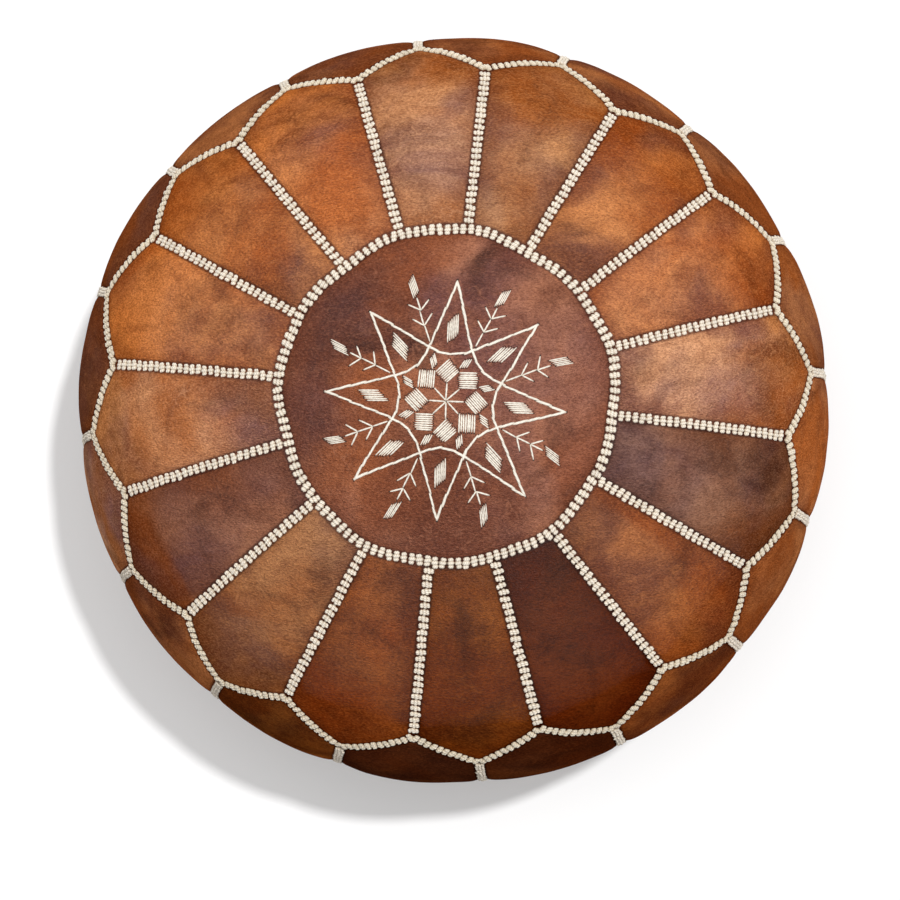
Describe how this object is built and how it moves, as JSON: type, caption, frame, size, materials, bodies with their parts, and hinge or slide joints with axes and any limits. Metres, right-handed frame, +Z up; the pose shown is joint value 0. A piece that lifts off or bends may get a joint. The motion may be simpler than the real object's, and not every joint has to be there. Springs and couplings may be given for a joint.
{
  "type": "leather pouf",
  "caption": "Round stuffed footstool sewn from leather panels, with an embroidered star medallion on top and a zipped base.",
  "frame": {"origin": "on the floor under the centre of the pouf", "axes": "+Z up through the middle of the embroidered medallion; the zip in the base runs along X and closes towards +X"},
  "size_m": [0.5334, 0.5334, 0.3308],
  "materials": {
    "petal_leather": "semi-matte",
    "medallion_leather": "semi-matte",
    "side_leather": "semi-matte",
    "base_leather": "matte",
    "embroidery_thread": "satin",
    "seam_thread": "satin",
    "cotton_cloth": "matte",
    "cotton_filling": "matte",
    "zip_tape": "matte",
    "zip_coil": "satin",
    "zip_metal": "aged"
  },
  "bodies": {
    "cover": {"base_disc_front": "base_leather", "base_disc_rear": "base_leather", "base_petals_quarter_1": "base_leather", "base_petals_quarter_2": "base_leather", "base_petals_quarter_3": "base_leather", "base_petals_quarter_4": "base_leather", "base_radial_stitching": "seam_thread", "base_ring_stitching": "seam_thread", "base_zigzag_stitching": "seam_thread", "filling": "cotton_filling", "inner_bag": "cotton_cloth", "medallion_embroidery": "embroidery_thread", "side_panel_01": "side_leather", "side_panel_02": "side_leather", "side_panel_03": "side_leather", "side_panel_04": "side_leather", "side_panel_05": "side_leather", "side_panel_06": "side_leather", "side_panel_07": "side_leather", "side_panel_08": "side_leather", "side_panel_09": "side_leather", "side_panel_10": "side_leather", "side_panel_11": "side_leather", "side_panel_12": "side_leather", "side_panel_13": "side_leather", "side_panel_14": "side_leather", "side_panel_15": "side_leather", "side_panel_16": "side_leather", "side_seam_stitching": "seam_thread", "top_medallion": "medallion_leather", "top_petal_01": "petal_leather", "top_petal_02": "petal_leather", "top_petal_03": "petal_leather", "top_petal_04": "petal_leather", "top_petal_05": "petal_leather", "top_petal_06": "petal_leather", "top_petal_07": "petal_leather", "top_petal_08": "petal_leather", "top_petal_09": "petal_leather", "top_petal_10": "petal_leather", "top_petal_11": "petal_leather", "top_petal_12": "petal_leather", "top_petal_13": "petal_leather", "top_petal_14": "petal_leather", "top_petal_15": "petal_leather", "top_petal_16": "petal_leather", "top_radial_stitching": "seam_thread", "top_ring_stitching": "seam_thread", "top_zigzag_stitching": "seam_thread", "zip_bottom_stop": "zip_metal", "zip_coil_front": "zip_coil", "zip_coil_rear": "zip_coil", "zip_stitching": "seam_thread", "zip_tape_front": "zip_tape", "zip_tape_rear": "zip_tape", "zip_top_stops": "zip_metal"},
    "zip_slider": {"zip_slider": "zip_metal"},
    "zip_pull_tab": {"zip_pull_tab": "zip_metal"}
  },
  "joints": [
    {"name": "zip_slide", "type": "slide", "parent": "cover", "child": "zip_slider", "axis": [-1, 0, 0], "range_m": [0, 0.1915]},
    {"name": "pull_tab_hinge", "type": "hinge", "parent": "zip_slider", "child": "zip_pull_tab", "pos_m": [0.096, 0, 0.00535], "axis": [0, -1, 0], "range_deg": [-9.5, 171]}
  ]
}
